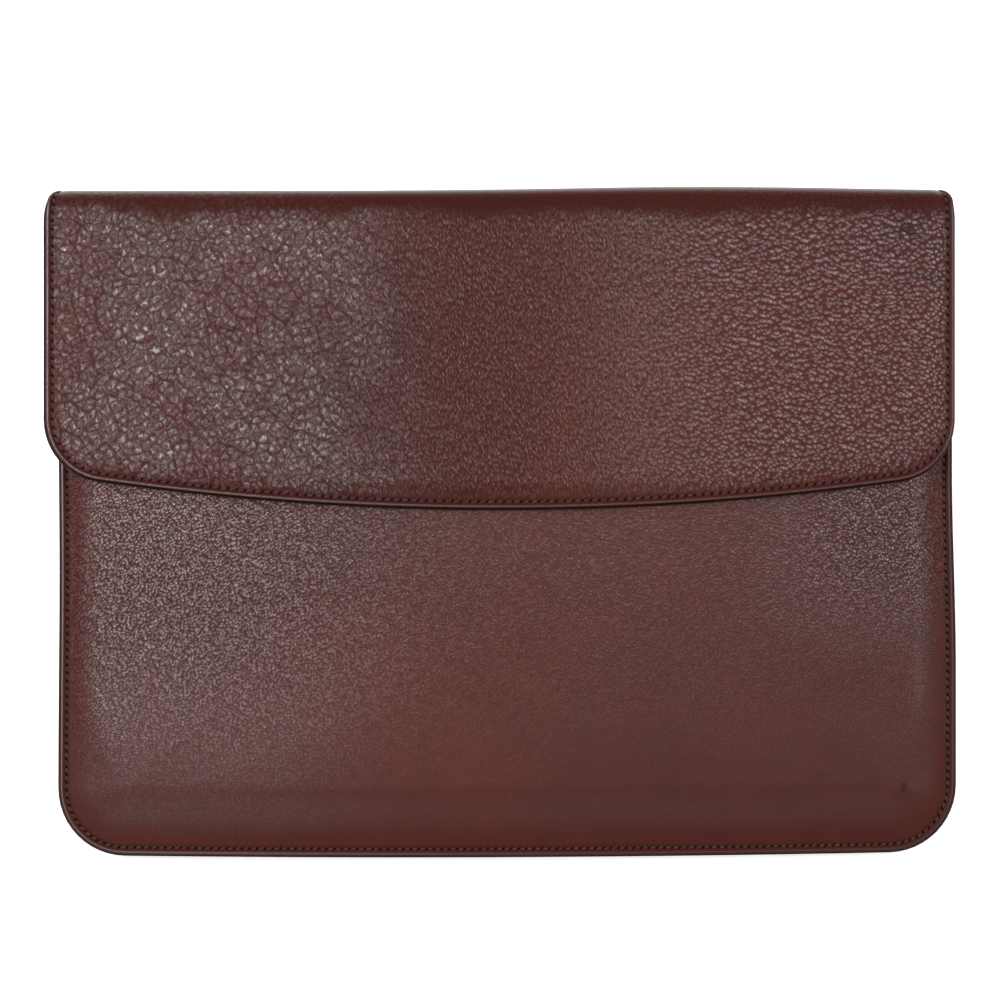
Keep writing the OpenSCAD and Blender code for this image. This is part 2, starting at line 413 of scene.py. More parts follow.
def back_edge(q):
    share = smooth(fold_share(q), 0, 1)
    return mix(POUCH_DIP, MID_DIP, share), mix(pouch_puff(q), MID_PUFF_END, share)


def pouch_puff(q):
    """Where the padding's rise ends: near the seam at the sides, and further in at the bottom."""
    return mix(BOTTOM_PUFF_END, SIDE_PUFF_END, smooth(q, POUCH_BOTTOM + 12, POUCH_BOTTOM + 60))


def front_edge(q):
    """The front wall lies lower toward the pouch's bottom, where there is less in it."""
    sag = SAG * smooth(q, FLAP_TIP + 18, POUCH_BOTTOM + 12)
    return sag, POUCH_DIP - sag, pouch_puff(q)


def back_x(x, q):
    """The back wall is as wide as the pouch, and widens to the flap's width toward the fold."""
    t = (x - POUCH_LEFT) / (POUCH_RIGHT - POUCH_LEFT)
    return mix(x, mix(FLAP_LEFT, FLAP_RIGHT, t), smooth(q, MOUTH_Y - 28, FOLD_Y + 4))


def pouch_sway(x, q):
    """The pouch narrows a little toward its mouth on the right, as a sewn case does."""
    side = (x - POUCH_LEFT) / (POUCH_RIGHT - POUCH_LEFT)
    return -1.5 * smooth(side, 0.5, 1) * smooth(q, -55, 20) + 0.5 * smooth(side, 0.5, 0) * hump(q, -20, 50)


def pouch_drop(x, q):
    """The pouch hangs a little lower on the left than on the right."""
    side = (x - POUCH_LEFT) / (POUCH_RIGHT - POUCH_LEFT)
    return -SLOPE_DROP * (1 - side) * smooth(q, 0, POUCH_BOTTOM)


def front_point(x, q, y, z):
    """A point of the front wall at y and z, moved as the wall is at the place q of its flat sheet."""
    return np.stack([x + pouch_sway(x, q), y + pouch_drop(x, q), z], 1)


# ---- Relief of the hide ----


def flap_relief(x, q, d):
    left = smooth(x, -30, -105)
    quiet = smooth(d, 3.6, 9.5)
    fold = 1 - 0.9 * smooth(q, FOLD_Y - 3, FOLD_Y + 5)
    veins = creases(x, q, 16, 0.30, 3.0, turn=1.05, stretch=2.4)
    slants = creases(x, q, 15, 0.13, 8.0, turn=-0.75, stretch=2.6)
    lines = creases(x, q, 9, 0.10, 5.0, turn=1.45, stretch=2.6)
    puckers = 0.46 * swell(x, q, 6.5, 14.0) + 0.26 * swell(x, q, 3.6, 15.0)
    bumps = 0.34 * swell(x, q, 34, 1.0) + 0.16 * swell(x, q, 13, 2.0)
    deep = -left * (0.30 * veins + 0.20 * slants) - 0.07 * (1 - left) * lines - 0.30 * flap_marks(x, q)
    return (deep + left * puckers + bumps) * quiet * fold


STAR = (153.5, 112.5)
STAR_RAYS = ((1.35, 15), (0.55, 13), (2.2, 12), (-0.95, 22), (-0.45, 17), (-2.3, 20), (3.4, 17))


def flap_marks(x, q):
    """The two creases that stand out on the flap's right side."""
    across = hump(q - 94 + 0.10 * (x - 160), 0, 0.9) * smooth(x, 138, 152) * smooth(x, 176, 166)
    return sample(x, q, star_crease) + 0.7 * across


def star_crease(x, q):
    """Creases that run together at one point near the flap's upper right corner."""
    dx, dy = x - STAR[0], q - STAR[1]
    reach = math.hypot(dx, dy)
    depth = 0.9 * math.exp(-((reach / 2.0) ** 2))
    for turn, length in STAR_RAYS:
        along = dx * math.cos(turn) + dy * math.sin(turn)
        off = dy * math.cos(turn) - dx * math.sin(turn) + 0.5 * math.sin(along * 0.4 + turn)
        if 0 < along < length:
            depth = max(depth, (1 - along / length) * math.exp(-((off / 0.8) ** 2)))
    return depth


def body_relief(x, q, d):
    quiet = smooth(d, 4.5, 13)
    low = smooth(q, -125, -40)
    diagonal = creases(x, q, 8, 0.12, 11.0, turn=0.75, stretch=3.0) * smooth(x, 30, -90)
    other = creases(x, q, 10, 0.10, 12.0, turn=-0.6, stretch=3.5) * smooth(x, -20, 90)
    bumps = 0.40 * swell(x, q, 48, 4.0) + 0.12 * swell(x, q, 15, 5.0)
    return (bumps - (0.10 * diagonal + 0.07 * other) * (0.2 + 0.8 * low)) * quiet


# Patches where the hand dye lies redder (+) or darker (-): x, q, radius and strength
FLAP_DYE = [
    (-150, 30, 40, 0.25), (-95, 95, 32, 0.45), (-45, 70, 45, -0.35), (-85, 55, 38, -0.25),
    (0, 85, 45, 0.20), (-20, 110, 60, 0.05), (60, 40, 55, 0.55), (110, 60, 60, 0.60),
    (95, 95, 40, 0.20), (150, 70, 35, 0.40), (20, 25, 40, 0.40), (-30, 20, 50, -0.2),
    (165, 35, 22, 0.20), (0, 122, 200, -0.20),
]
BODY_DYE = [
    (-70, -50, 50, 0.55), (-15, -85, 45, 0.65), (10, -20, 50, 0.45), (80, -10, 45, 0.35),
    (-60, 0, 36, -0.5), (-100, -25, 40, -0.25), (60, -75, 48, 0.1), (110, -95, 45, -0.05),
    (150, -50, 40, -0.10), (150, 5, 30, -0.15), (-150, -60, 30, 0.25),
    (-158, 0, 22, 0.3), (-120, -100, 40, 0.15), (40, -110, 40, -0.2), (95, -70, 22, 0.3),
    (154, -101.5, 2.4, -1.4),
]


def dye_from(patches, seed):
    """Share of red dye over a sheet, from its patches and two sizes of mottling."""

    def dye(x, q, d):
        value = 0.5 + 0.10 * swell(x, q, 30, seed) + 0.08 * swell(x, q, 9, seed + 1)
        for px, pq, radius, strength in patches:
            value = value + 0.5 * strength * hump(np.hypot(x - px, q - pq), 0, radius)
        return np.clip(value, 0, 1)

    return dye


# The flap's colour is also darker along its two creases
def flap_dye(x, q, d):
    return np.clip(dye_from(FLAP_DYE, 20.0)(x, q, d) - 0.8 * flap_marks(x, q), 0, 1)


# ---- Node materials ----


class Nodes:
    """A short way to write a node tree."""

    def __init__(self, name, dimensions="3D"):
        self.dimensions = dimensions
        self.material = bpy.data.materials.new(name)
        self.material.use_nodes = True
        self.tree = self.material.node_tree
        self.shader = self.tree.nodes["Principled BSDF"]

    def link(self, value, socket):
        if isinstance(value, bpy.types.NodeSocket):
            self.tree.links.new(value, socket)
        else:
            socket.default_value = value

    def add(self, kind, inputs=(), **settings):
        node = self.tree.nodes.new(kind)
        for key, value in settings.items():
            setattr(node, key, value)
        for key, value in dict(inputs).items():
            self.link(value, node.inputs[key])
        return node

    def math(self, operation, a, b=0.0, c=0.0, clamp=False):
        node = self.add("ShaderNodeMath", {0: a, 1: b, 2: c}, operation=operation, use_clamp=clamp)
        return node.outputs[0]

    def times(self, first, *others):
        """All the values multiplied together."""
        for value in others:
            first = self.math("MULTIPLY", first, value)
        return first

    def slope(self, value, factor, start):
        """factor times value, plus start."""
        return self.math("MULTIPLY_ADD", value, factor, start)

    def remap(self, value, a, b, low=0.0, high=1.0):
        inputs = {"Value": value, "From Min": a, "From Max": b, "To Min": low, "To Max": high}
        return self.add("ShaderNodeMapRange", inputs, interpolation_type="SMOOTHSTEP").outputs[0]

    def blend(self, factor, a, b):
        node = self.add("ShaderNodeMix", data_type="RGBA")
        self.link(factor, node.inputs[0])
        self.link(a, node.inputs[6])
        self.link(b, node.inputs[7])
        return node.outputs[2]

    def mixed(self, factor, a, b):
        return self.add("ShaderNodeMix", {0: factor, 2: a, 3: b}).outputs[0]

    def cloth(self):
        """The point's place on its flat sheet: x, q and d in millimetres."""
        return self.add("ShaderNodeAttribute", attribute_name="cloth").outputs["Vector"]

    def scaled(self, vector, scale, turn=0.0):
        inputs = {"Vector": vector, "Scale": tuple(1 / part for part in scale), "Rotation": (0, 0, turn)}
        return self.add("ShaderNodeMapping", inputs, vector_type="TEXTURE").outputs[0]

    def noise(self, vector, scale, detail=2.0, roughness=0.5):
        inputs = {"Vector": vector, "Scale": scale, "Detail": detail, "Roughness": roughness}
        return self.add("ShaderNodeTexNoise", inputs, noise_dimensions=self.dimensions).outputs[0]

    def cells(self, vector, scale, feature="F1"):
        inputs = {"Vector": vector, "Scale": scale}
        settings = {"feature": feature, "voronoi_dimensions": self.dimensions}
        return self.add("ShaderNodeTexVoronoi", inputs, **settings).outputs["Distance"]

    def bump(self, height, distance, strength=1.0, normal=None):
        node = self.add("ShaderNodeBump", {"Height": height, "Distance": distance, "Strength": strength})
        if normal is not None:
            self.link(normal, node.inputs["Normal"])
        return node.outputs[0]

    def finish(self, **sockets):
        for key, value in sockets.items():
            self.link(value, self.shader.inputs[key.replace("_", " ").title().replace("Ior", "IOR")])
        return self.material


RED_DYE = (0.082, 0.0165, 0.0115, 1)
BASE_DYE = (0.061, 0.0140, 0.0108, 1)
DARK_DYE = (0.042, 0.0108, 0.0092, 1)
# A pale grey painted into the leather's colour as a highlight, and its share where the shine is full
PAINTED_SHEEN = (0.190, 0.150, 0.148, 1)
PAINTED_SHEEN_SHARE = 0.15
WORN_GLOSS = 0.85
LEATHER_GLOSS = 0.04
# Near black: painted shade in the grain's valleys and wrinkles, and the darker cut edges
CREASE_SHADE_AND_DARK_EDGE = (0.016, 0.0038, 0.0028, 1)
# Dark red painted as shade on the stitched border and over the fold
PAINTED_SHADE = (0.036, 0.0090, 0.0068, 1)


def pebbles(n, vector, per_mm):
    """Soft grain: its height, 1 in the narrow valleys, and 1 on the middle of each top."""
    edge = n.cells(vector, per_mm, feature="DISTANCE_TO_EDGE")
    centre = n.cells(vector, per_mm)
    return n.remap(edge, 0.0, 0.34), n.remap(edge, 0.12, 0.0), n.remap(centre, 0.58, 0.06)


def left_sheen_and_creases(n, skin):
    """The flap's left side: how shiny it is between its soft creases, partly glossier leather and partly a
    painted sheen where the light falls, and the creases.
    """
    blotches = n.remap(n.noise(n.scaled(skin, (1.2, 0.85, 1), 0.4), 0.50, 4.0, 0.64), 0.38, 0.62)
    broad = n.remap(n.noise(n.scaled(skin, (1, 0.7, 1), 0.5), 0.032, 3.0, 0.6), 0.38, 0.60, 0.55, 1.10)
    veins = n.cells(n.scaled(skin, (1, 0.55, 1), 0.6), 0.12, feature="DISTANCE_TO_EDGE")
    small_veins = n.cells(n.scaled(skin, (1, 0.7, 1), -0.7), 0.34, feature="DISTANCE_TO_EDGE")
    open_skin = n.times(n.remap(veins, 0.0, 0.10, 0.30, 1.0), n.remap(small_veins, 0.0, 0.20, 0.20, 1.0))
    cracks = n.math("MAXIMUM", n.remap(veins, 0.03, 0.0), n.remap(small_veins, 0.05, 0.0))
    return n.times(n.slope(blotches, 1.15, 0.30), open_skin, broad), cracks


def fold_wander(n, place, q):
    """q, shifted by broad noise, so that what changes at the fold has an uneven edge."""
    return n.slope(n.noise(place, 0.035, 3.0, 0.6), 14.0, q)


def flap_grain(n, skin, x, q, d):
    """The flap's grain: height, valleys, depth in millimetres, shine and a larger relief. The shine also
    sets a painted sheen, strongest on the left where the light falls and weaker on the border and over the
    fold.
    """
    right = n.remap(x, 0.0, 105.0)
    left = n.remap(x, -15.0, -100.0)
    coarse = pebbles(n, n.scaled(skin, (1.05, 0.95, 1), 0.6), 0.60)
    streaks = pebbles(n, n.scaled(skin, (1.6, 0.55, 1), 0.1), 0.86)
    grain, valley, tops = (n.mixed(right, a, b) for a, b in zip(streaks, coarse))
    gloss_and_sheen, cracks = left_sheen_and_creases(n, skin)
    valley = n.mixed(left, valley, cracks)
    depth = n.mixed(left, n.mixed(right, 0.09, 0.15), 0.08)
    on_fold = n.remap(fold_wander(n, skin, q), FOLD_Y + 4.0, FOLD_Y + 12.0)
    fade = n.times(n.remap(d, 3.6, 5.5, 0.3, 1.0), n.slope(on_fold, -0.85, 1.0))

    flecks = n.remap(n.noise(n.scaled(skin, (1.5, 0.5, 1), 0.1), 0.85, 3.0, 0.6), 0.38, 0.64)
    fine_tops = n.times(n.slope(tops, 0.8, 0.1), n.slope(flecks, 0.9, 0.3), 0.62)
    grainy = n.mixed(right, fine_tops, n.slope(tops, 0.95, 0.12))
    left_sheen = n.times(gloss_and_sheen, n.slope(tops, 0.7, 1.2))
    # The painted sheen is weaker on the border's slope and over the fold, where the surface turns from the
    # light
    polish_and_sheen = n.times(
        n.mixed(left, grainy, left_sheen), n.remap(d, 3.4, 6.0, 0.35, 1.0), n.slope(on_fold, -0.92, 1.0)
    )
    return grain, valley, n.times(depth, fade), polish_and_sheen, n.times(gloss_and_sheen, left, 0.28, fade)


def body_grain(n, skin, x, q, d):
    """The pouch's finer grain, which fades toward the bottom. Its shine also sets a painted sheen,
    strongest on the left and at the upper right, weaker toward the bottom and the border.
    """
    fine = pebbles(n, n.scaled(skin, (1.1, 0.95, 1), 0.5), 0.85)
    slanted = pebbles(n, n.scaled(skin, (1.25, 0.75, 1), -0.75), 0.95)
    side = n.remap(x, 60.0, -90.0)
    grain, valley, tops = (n.mixed(side, a, b) for a, b in zip(fine, slanted))
    low = n.remap(q, -118.0, -20.0, 0.15, 1.0)
    left = n.remap(x, -20.0, -120.0)
    right = n.times(n.remap(x, 80.0, 140.0), n.remap(q, -60.0, -10.0))
    off_fold = n.remap(q, FOLD_Y - 14.0, FOLD_Y + 1.0, 1.0, 0.12)
    depth = n.slope(right, 0.09, n.times(low, n.remap(x, 10.0, -120.0, 0.045, 0.10)))
    fade = n.times(n.remap(d, 4.0, 12.0, 0.2, 1.0), off_fold)

    flecks = n.remap(n.noise(n.scaled(skin, (1.3, 0.8, 1), -0.75), 0.34, 3.0, 0.6), 0.38, 0.62)
    shown = n.times(low, n.remap(x, 60.0, -120.0, 0.35, 1.0))
    shown = n.math("MAXIMUM", shown, n.times(right, 0.9))
    lively = n.times(n.slope(tops, 0.95, 0.10), n.slope(flecks, 0.7, 0.55))
    # The painted sheen is stronger on the left, where the light falls
    sides = n.slope(left, 0.85, n.slope(right, 0.5, 0.95))
    bottom = n.remap(q, -118.0, -75.0, 0.7, 1.0)
    inside = n.remap(d, 4.0, 15.0, 0.15, 1.0)
    polish_and_sheen = n.times(n.mixed(shown, 0.28, lively), sides, inside, bottom, off_fold)
    relief = n.times(n.noise(skin, 0.30, 2.0, 0.5), 0.10, fade)
    return grain, valley, n.times(depth, fade), polish_and_sheen, relief


def pushed_about(n, flat):
    """A sheet's flat coordinates, shifted unevenly so that no grain runs straight."""
    warp = n.add("ShaderNodeTexNoise", {"Vector": flat, "Scale": 0.22, "Detail": 2.0}).outputs[1]
    shift = n.add("ShaderNodeVectorMath", {0: warp, 1: (0.5, 0.5, 0.5)}, operation="SUBTRACT").outputs[0]
    moved = n.add("ShaderNodeVectorMath", {0: shift, "Scale": 1.8}, operation="SCALE").outputs[0]
    return n.add("ShaderNodeVectorMath", {0: flat, 1: moved}, operation="ADD").outputs[0]


def wrinkle_lines(n, skin, q, d):
    """1 along the hide's long thin wrinkles, which fade toward the bottom and the edges."""
    wrinkles = n.cells(n.scaled(skin, (1, 1, 1), 0.9), 0.10, feature="DISTANCE_TO_EDGE")
    off_edge = n.remap(d, 5.0, 11.0)
    return n.times(n.remap(wrinkles, 0.05, 0.0), off_edge, n.remap(q, -90.0, -30.0, 0.1, 1.0))


def hand_dye(n, flat, dye):
    """The dye's own colour, redder or darker from place to place."""
    cloud = n.noise(flat, 0.09, 4.0, 0.55)
    tone = n.slope(n.math("SUBTRACT", cloud, 0.5), 0.5, dye)
    colour = n.blend(n.remap(tone, 0.45, 1.1), BASE_DYE, RED_DYE)
    return n.blend(n.remap(tone, 0.55, -0.1), colour, DARK_DYE)


def shaded_border_and_edge(n, colour, flat, q, d):
    """Painted shade along the stitched border and over the fold, where the surface turns from the light;
    the cut edge is darker too.
    """
    colour = n.blend(n.remap(d, 5.0, 3.2, 0.0, 0.45), colour, PAINTED_SHADE)
    over_fold = n.remap(fold_wander(n, flat, q), FOLD_Y + 3.0, FOLD_Y + 11.0, 0.0, 0.7)
    colour = n.blend(over_fold, colour, PAINTED_SHADE)
    return n.blend(n.remap(d, 0.85, 0.2, 0.0, 0.9), colour, CREASE_SHADE_AND_DARK_EDGE)


def gloss_and_painted_sheen(n, x, q, d, dye, polish_and_sheen, right_bead_sheen):
    """Where the leather is glossier and where a highlight is painted into its colour: the grain's tops, a
    painted highlight along the top edge, and the edge's bead, whose painted highlight is weaker on the
    right, away from the light.
    """
    top_edge_highlight = n.remap(q, FOLD_Y + 9.0, FOLD_Y + 14.0)
    clean = n.remap(dye, 0.0, 0.22, 0.25, 1.0)
    gloss_and_sheen = n.times(n.slope(top_edge_highlight, 0.4, polish_and_sheen), n.remap(d, 2.2, 3.2), clean)
    bead = n.times(n.remap(d, 0.40, 0.75), n.remap(d, 1.5, 0.95), n.remap(x, 60.0, -140.0, right_bead_sheen, 1.0))
    return n.math("ADD", gloss_and_sheen, bead)


def leather(name, grain_of, right_bead_sheen):
    """Hand-dyed leather, whose grain, dye and shine change over the hide; shade is painted into its
    valleys, border and fold, and a highlight onto its grain tops, top edge and bead.
    """
    n = Nodes(name, "2D")
    x, q, d = n.add("ShaderNodeSeparateXYZ", {0: n.cloth()}).outputs
    flat = n.add("ShaderNodeCombineXYZ", {0: x, 1: q}).outputs[0]
    skin = pushed_about(n, flat)
    grain, valley, depth, polish_and_sheen, relief = grain_of(n, skin, x, q, d)
    pores = n.noise(skin, 2.0, 2.0, 0.5)
    line = wrinkle_lines(n, skin, q, d)
    height = n.slope(grain, n.times(depth, 1.35), relief)
    height = n.slope(line, -0.035, height)
    height = n.slope(pores, 0.012, height)

    dye = n.add("ShaderNodeAttribute", attribute_name="dye").outputs["Fac"]
    # Painted shade: the grain's valleys and the wrinkles are darkened
    groove_shade = n.math("MULTIPLY", valley, n.times(depth, 3.6), clamp=True)
    groove_shade = n.math("MAXIMUM", groove_shade, n.times(line, 0.25))
    colour = n.blend(groove_shade, hand_dye(n, flat, dye), CREASE_SHADE_AND_DARK_EDGE)
    colour = shaded_border_and_edge(n, colour, flat, q, d)
    gloss_and_sheen = gloss_and_painted_sheen(n, x, q, d, dye, polish_and_sheen, right_bead_sheen)
    # Painted highlight: the colour is lifted toward pale grey on the grain's tops, along the top edge and
    # on the bead
    colour = n.blend(n.math("MULTIPLY", gloss_and_sheen, PAINTED_SHEEN_SHARE, clamp=True), colour, PAINTED_SHEEN)
    return n.finish(
        base_color=colour, roughness=n.slope(pores, 0.16, 0.30), normal=n.bump(height, MM),
        specular_ior_level=n.slope(gloss_and_sheen, WORN_GLOSS, LEATHER_GLOSS),
    )


def woven(name, colour_a, colour_b, per_mm, rough):
    """Close cloth or suede: a short nap over a fine weave."""
    n = Nodes(name)
    place = n.cloth()
    nap = n.noise(place, per_mm * 2.2, 4.0, 0.7)
    brushed = n.noise(n.scaled(place, (0.25, 1, 1), 0.3), 0.12, 3.0)
    weave = n.cells(place, per_mm)
    mottle = n.slope(brushed, 0.7, n.times(nap, 0.3))
    colour = n.blend(n.remap(mottle, 0.3, 0.7), colour_a, colour_b)
    edge = n.add("ShaderNodeSeparateXYZ", {0: place}).outputs[2]
    colour = n.blend(n.remap(edge, 1.2, 0.6, 0.0, 0.9), colour, CREASE_SHADE_AND_DARK_EDGE)
    return n.finish(
        base_color=colour, roughness=rough, normal=n.bump(n.slope(weave, 0.5, nap), 0.18 * MM, 0.8),
        sheen_weight=0.08, sheen_roughness=0.5, specular_ior_level=0.1,
    )


# The foam is near black, partly its own colour and partly painted shade so that it passes for shadow where
# it shows in the gaps; its pits are painted darker as shade
def foam_material():
    n = Nodes("dark_foam")
    place = n.cloth()
    cells = n.cells(place, 1.6)
    colour = n.blend(n.remap(cells, 0.1, 0.7), (0.012, 0.010, 0.009, 1), (0.034, 0.028, 0.026, 1))
    return n.finish(base_color=colour, roughness=0.92, normal=n.bump(cells, 0.3 * MM, 0.7))


def thread_material():
    n = Nodes("waxed_thread")
    place = n.cloth()
    lay = {"Vector": n.scaled(place, (1, 1, 1), 0.6), "Scale": 2.2, "Distortion": 0.6}
    twist = n.add("ShaderNodeTexWave", lay).outputs[1]
    shade = n.noise(place, 0.35, 2.0)
    colour = n.blend(n.remap(shade, 0.35, 0.65), (0.070, 0.020, 0.014, 1), (0.120, 0.042, 0.032, 1))
    colour = n.blend(n.times(twist, 0.5), colour, (0.05, 0.012, 0.009, 1))
    return n.finish(base_color=colour, roughness=0.5, normal=n.bump(twist, 0.12 * MM, 0.8))


# The needle holes are dark discs laid on the leather: painted shade for the inside of each hole
def hole_shade_material():
    n = Nodes("needle_hole_shade")
    place = n.cloth()
    grain = n.noise(place, 3.0, 2.0)
    colour = n.blend(grain, (0.002, 0.001, 0.001, 1), (0.007, 0.003, 0.002, 1))
    return n.finish(base_color=colour, roughness=0.8, specular_ior_level=0.1)


def magnet_material():
    n = Nodes("plated_magnet")
    place = n.add("ShaderNodeTexCoord").outputs["Object"]
    brushed = n.noise(n.scaled(place, (40, 900, 900)), 1.0, 3.0)
    colour = n.blend(brushed, (0.52, 0.52, 0.54, 1), (0.72, 0.72, 0.74, 1))
    return n.finish(
        base_color=colour, metallic=1.0, roughness=n.remap(brushed, 0.2, 0.8, 0.22, 0.4),
        normal=n.bump(brushed, 0.05 * MM, 0.5),
    )


def patch_material():
    n = Nodes("patch_cloth")
    place = n.add("ShaderNodeTexCoord").outputs["Object"]
    weave = n.cells(place, 1400.0)
    colour = n.blend(weave, (0.62, 0.57, 0.47, 1), (0.78, 0.74, 0.66, 1))
    return n.finish(base_color=colour, roughness=0.9, normal=n.bump(weave, 0.1 * MM, 0.8))


FLAP_LEATHER = leather("flap_leather_dye_and_painted_light", flap_grain, 0.5)
BODY_LEATHER = leather("body_leather_dye_and_painted_light", body_grain, 0.35)
SUEDE = woven("suede_lining", (0.060, 0.030, 0.018, 1), (0.115, 0.062, 0.038, 1), 2.4, 0.9)
FOAM = foam_material()
THREAD = thread_material()
HOLE_SHADE = hole_shade_material()


# ---- The leather ----

# Distances from the cut edge at which a sheet has a ring of points
EDGE_RINGS = [
    0, 0.05, 0.18, 0.4, 0.7, 1.2, 1.8, 2.3, 2.7, 3.0, 3.35, 3.8,
    4.3, 4.9, 5.6, 6.5, 7.6, 9.0, 10.6, 12.4, 14.5, 17, 20, FLAP_CORNER,
]
POUCH_RINGS = EDGE_RINGS + [POUCH_CORNER]
# Distances between rows of points, and steps along a sheet's lower edge
COARSE = 1
GRAIN_STEP = 1.35 * COARSE
BODY_STEP = 1.8 * COARSE
BACK_STEP = 2.2 * COARSE
FOLD_STEP = 1.0
FLAP_STEPS = 232 // COARSE
FRONT_STEPS = 166 // COARSE
BACK_STEPS = 136 // COARSE
ROLL_START = MOUTH_Y - ROLL_R
ROLL_END = ROLL_START + math.pi * ROLL_R
FOLD_MARKS = [(FOLD_Y - 2, FOLD_STEP), (FOLD_MIDDLE, FOLD_STEP)]
ROLL_MARKS = [(ROLL_START, 0.6), (ROLL_END, 1.4), (ROLL_END + ROLL_TAIL, 1)]
FLAP_CUT = Cut(FLAP_OUTLINE, FLAP_STEPS, GRAIN_STEP, *FOLD_MARKS)
BACK_CUT = Cut(grown(POUCH_OUTLINE, BACK_PROUD), BACK_STEPS, BACK_STEP, (FOLD_Y - 30, 1.4), *FOLD_MARKS)
FRONT_CUT = Cut(POUCH_OUTLINE, FRONT_STEPS, BODY_STEP, *ROLL_MARKS)


def place_flap(x, q, d, outer):
    top = edge_profile(d, *flap_edge(q))
    top = top + flap_relief(x, q, d) if outer else top
    return fold_point(x, q, face_heights(d, top, outer), True)


def place_back(x, q, d, outer):
    top = edge_profile(d, *back_edge(q))
    flat = smooth(np.maximum(FOLD_Y - q, 0), 0, 25)
    if outer:
        top = top - 0.12 * np.abs(swell(x, q, 22, 9.0)) * flat * smooth(d, 6, 15)
    h = face_heights(d, np.minimum(top, 0), outer)
    return back_point(x, q, h)


def back_point(x, q, h):
    """A point of the back wall: its lower part follows the pouch, its upper part the fold."""
    sway = pouch_sway(x, q) * smooth(q, MOUTH_Y, MOUTH_Y - 28)
    point = fold_point(back_x(x, q) + sway, q, h, False)
    point[:, 1] += pouch_drop(x, q)
    return point


def place_front(x, q, d, outer):
    level = np.minimum(q, ROLL_START)
    sag, dip, puff = front_edge(level)
    top = edge_profile(d, dip, puff) - sag + crown(level, d)
    top = top + body_relief(x, level, d) if outer else top
    h = face_heights(d, top, outer)
    r = mix(ROLL_R_BORDER, ROLL_R, smooth(d, 5, 14))
    t = h - top
    past = np.clip(q - ROLL_START, 0, None)
    angle = np.minimum(past / r, math.pi)
    tail = np.maximum(past - math.pi * r, 0)
    y = level + (r + t) * np.sin(angle) - tail
    z = POUCH_TOP + top - r + (r + t) * np.cos(angle)
    return front_point(x, level, y, z)


def crown(q, d):
    """The front swells a little where the flap doesn't hold it down."""
    return 0.8 * smooth(d, 8, 60) * smooth(q, FLAP_TIP + 8, FLAP_TIP - 30)


SLEEVE_TO_SPINE = dict(a="sleeve", b="spine", start=(0, FOLD_Y * MM, 0), end=(0, CREASE_Y * MM, 0))
SPINE_TO_FLAP = dict(a="spine", b="flap", start=(0, CREASE_Y * MM, 0), end=(0, FOLD_Y * MM, 0))


def seat(obj, nodes, on=None, bend=None):
    """Hides the CAD nodes that a piece stands for and puts the piece on its body; with bend, its place is
    baked into its mesh instead.
    """
    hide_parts(*nodes)
    if bend:
        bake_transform(obj)
    else:
        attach(obj, on)


def dressed(obj, material, nodes, on=None, bend=None):
    """Seats a piece that is all of one material."""
    obj.data.materials.append(material)
    seat(obj, nodes, on, bend)


flap_leather = sheet_object("flap_leather", FLAP_CUT, EDGE_RINGS, place_flap, flap_dye)
dressed(flap_leather, FLAP_LEATHER, ["flap_panel", "spine_panel"], bend=SPINE_TO_FLAP)
front_leather = sheet_object("front_leather", FRONT_CUT, POUCH_RINGS, place_front, dye_from(BODY_DYE, 30.0))
dressed(front_leather, BODY_LEATHER, ["front_panel"], on="sleeve")
back_rings = POUCH_RINGS[:-1] + [POUCH_CORNER + BACK_PROUD]
back_leather = sheet_object("back_leather", BACK_CUT, back_rings, place_back, dye_from(BODY_DYE, 40.0))
dressed(back_leather, BODY_LEATHER, ["back_panel"], bend=SLEEVE_TO_SPINE)


# ---- The lining ----


def lining_depth(d, dip, puff):
    """The lining's outer face below the leather's: as deep as the wall, or close under its edge."""
    near_edge = (dip + LEATHER_T + GLUE_GAP) * (1 - smooth(d, BORDER, puff))
    return -np.maximum(WALL_T - LINING_T, near_edge)


def place_flap_lining(x, q, d, outer):
    dip, puff = flap_edge(q)
    return fold_point(x, q, face_heights(d, lining_depth(d, dip, puff), outer, LINING_T), True)


LINING_RINGS = [0, 0.05, 0.15, 0.3, 1, 2, 3, 4, 5, 6.5, 9, 12, 17, FLAP_CORNER]
LINING_STEPS = 110
LINING_SHIFT = -0.3
LINING_OUTLINE = (
    FLAP_LEFT - LINING_PROUD + LINING_SHIFT, FLAP_RIGHT + LINING_PROUD + LINING_SHIFT,
    FLAP_TIP - LINING_PROUD, FLAP_CORNER, FLAP_BOW,
)
LINING_CUT = Cut(LINING_OUTLINE, LINING_STEPS, 3.0, (FOLD_Y - 3, 1.2), (FOLD_MIDDLE, 1.0))
flap_lining = sheet_object("flap_lining_suede", LINING_CUT, LINING_RINGS, place_flap_lining)
dressed(flap_lining, SUEDE, ["flap_lining", "spine_lining"], bend=SPINE_TO_FLAP)

POCKET_TOP = POUCH_TOP - WALL_T
SEAM_GAP = 0.2
POCKET_RISE = POCKET_TOP - SEAM_Z - SEAM_GAP


def pocket_face(q, d, inner_face, sag):
    """Height of the lining's pocket face, or of its hidden face, above the middle of the pocket."""
    end = pouch_puff(q) - LINING_INSET
    near = (POCKET_RISE - sag) * smooth(d, -3.5, end)
    return near + (0 if inner_face else LINING_T)


def place_front_lining(x, q, d, outer):
    z = SEAM_Z + SEAM_GAP + pocket_face(q, d, not outer, front_edge(q)[0])
    return np.stack([x, q + pouch_drop(x, q), z], 1)


def place_back_lining(x, q, d, outer):
    z = SEAM_Z - SEAM_GAP - pocket_face(q, d, not outer, 0)
    return np.stack([x, q + pouch_drop(x, q), z], 1)


